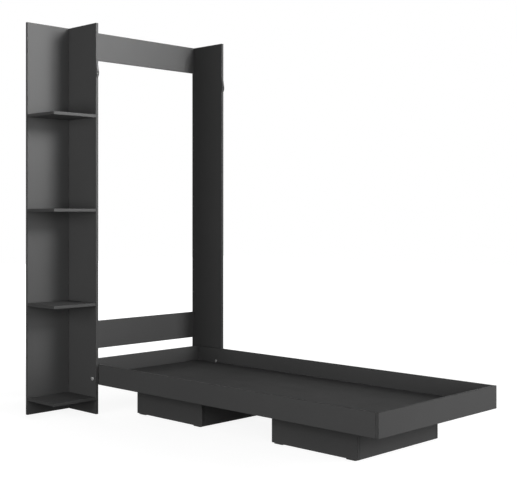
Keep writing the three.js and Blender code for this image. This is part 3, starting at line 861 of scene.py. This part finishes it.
def lever_depth(height):
    """How far the lever stands forward at a height above its screw, by the curve of its wing and tail."""
    if height > 0:
        start, bend, end = lever_boss_above, lever_wing_bend, lever_wing
    else:
        start, bend, end = lever_boss_below, lever_tail_bend, lever_tail
    reach = abs(height) - start
    if reach <= 0:
        return lever_boss
    a = end - 2 * bend + start
    b = 2 * (bend - start)
    t = (sqrt(max(0, b * b + 4 * a * reach)) - b) / (2 * a)
    return lever_boss + t * t * (lever_tip - lever_boss)


catch_plastic = moulded(
    "catch_plastic", catch_grey, roughness=0.45, gloss=0.2, pit_size=0.0005, scuff_share=0.02
)
# The recess's inside gets this painted shade instead of the lever's grey moulding.
recess_shade_plastic = moulded(
    "recess_shade_plastic", (recess_shade_black,) * 3, roughness=0.8, gloss=0.02, pit_size=0.0005
)
for side in ("left", "right"):
    node = f"catch_lever_{side}"
    rounds = [
        (lever_tip_radius, 0, lever_wing - lever_tip_radius),
        (lever_width / 2, 0, 0),
        (lever_tip_radius, 0, lever_tip_radius - lever_tail),
    ]
    lever = pad_between(rounds, lever_stand_off, lever_boss, lever_sides)
    outline = open_level(lever, lever_boss)
    half_step = Matrix.Rotation(radians(180 / lever_sides), 4, "Z")
    place = Matrix.Translation((0, 0, lever_boss)) @ half_step
    circle = bmesh.ops.create_circle(
        lever, segments=lever_sides, radius=lever_recess_radius, matrix=place
    )
    for point in circle["verts"]:
        point.co.y += lever_recess_above if point.co.y > 0 else -lever_recess_below
    bmesh.ops.triangle_fill(lever, use_beauty=True, edges=outline + wires(lever), normal=(0, 0, 1))
    for height in wing_cuts + tail_cuts:
        whole = [*lever.verts, *lever.edges, *lever.faces]
        bmesh.ops.bisect_plane(lever, geom=whole, plane_co=(0, height, 0), plane_no=(0, 1, 0))
    for point in lever.verts:
        if point.co.z > lever_stand_off + touching:
            point.co.z = lever_depth(point.co.y)
    mouth = [edge for edge in lever.edges if edge.is_boundary]
    shell = list(lever.faces)
    wall = bmesh.ops.extrude_edge_only(lever, edges=mouth)["geom"]
    for point in only(bmesh.types.BMVert, wall):
        point.co.z = lever_recess_floor
    foot = only(bmesh.types.BMEdge, wall)
    place = Matrix.Translation((0, 0, lever_recess_floor))
    bmesh.ops.create_circle(lever, segments=lever_sides, radius=lever_bore, matrix=place)
    bore = wires(lever)
    bmesh.ops.triangle_fill(lever, use_beauty=True, edges=foot + bore, normal=(0, 0, 1))
    sunk_ring(lever, bore, Vector(), 1, lever_stand_off - lever_recess_floor)
    # The recess's faces take the second material, the painted shade; the rest keeps the lever's grey.
    for face in lever.faces:
        face.material_index = 0 if face in shell else 1
    rear = open_level(lever, lever_stand_off)
    bmesh.ops.triangle_fill(lever, use_beauty=True, edges=rear, normal=(0, 0, -1))
    bmesh.ops.remove_doubles(lever, verts=lever.verts, dist=touching)
    low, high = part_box(f"side_panel_{side}")
    screw_low, screw_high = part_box(f"catch_screw_{side}")
    at_screw = Vector(((low.x + high.x) / 2, low.y, (screw_low.z + screw_high.z) / 2))
    stand = Matrix(((1, 0, 0, 0), (0, 0, -1, 0), (0, 1, 0, 0), (0, 0, 0, 1)))
    place = Matrix.Translation(at_screw) @ stand @ Matrix.Scale(millimetre, 4)
    piece = fit_piece(
        f"{node}_plastic", lever, place, catch_plastic, f"catch_{side}", "catch_plastic", node
    )
    piece.data.materials.append(recess_shade_plastic)
    rounding = piece.modifiers.new("rounding", "BEVEL")
    rounding.width = lever_rounding
    rounding.segments = 3
    rounding.limit_method = "ANGLE"
    rounding.angle_limit = radians(lever_rounded_from)

# Catch screws
# Blackened steel screws with a flat head, sunk in the levers' recesses, on which the levers turn. They
# are driven into the panels' front edges.
catch_head_radius = 4.5
catch_head_thickness = 2
catch_shank_radius = 2.2
catch_screw_length = 37
catch_socket_radius = 1.8
catch_socket_depth = 1
catch_step = 0.2
catch_thread_start = 10
catch_thread_depth = 0.7
catch_thread_pitch = 1.8
catch_flank = 0.5
catch_tip = 4
catch_sides = 30
blackened = 0.07
blackened_roughness = 0.55
blackened_steel = plated_steel("blackened_steel", blackened, blackened_roughness)
catch_core_radius = catch_shank_radius - catch_thread_depth
catch_thread_end = catch_screw_length - catch_tip
catch_turn = [
    (catch_core_radius, -catch_flank),
    (catch_shank_radius, 0),
    (catch_core_radius, catch_flank),
]
catch_profile = [
    (catch_socket_radius + socket_land, 0),
    (catch_head_radius - 1.4, 0),
    (catch_head_radius - 0.5, 0.25),
    (catch_head_radius, 0.8),
    (catch_head_radius, catch_head_thickness - catch_step),
    (catch_head_radius - catch_step, catch_head_thickness),
    (catch_shank_radius, catch_head_thickness),
    (catch_shank_radius, catch_thread_start - 1),
    *thread(catch_thread_start, catch_thread_end, catch_thread_pitch, catch_turn),
    (catch_core_radius, catch_thread_end),
    (0, catch_screw_length),
]
for side in ("left", "right"):
    node = f"catch_screw_{side}"
    screw = turned(catch_profile, sides=catch_sides)
    add_socket(screw, catch_socket_radius, catch_socket_depth, sides=catch_sides)
    place = start_of(node, (0, 1, 0))
    fit_piece(f"{node}_steel", screw, place, blackened_steel, "frame", "screw_steel", node)
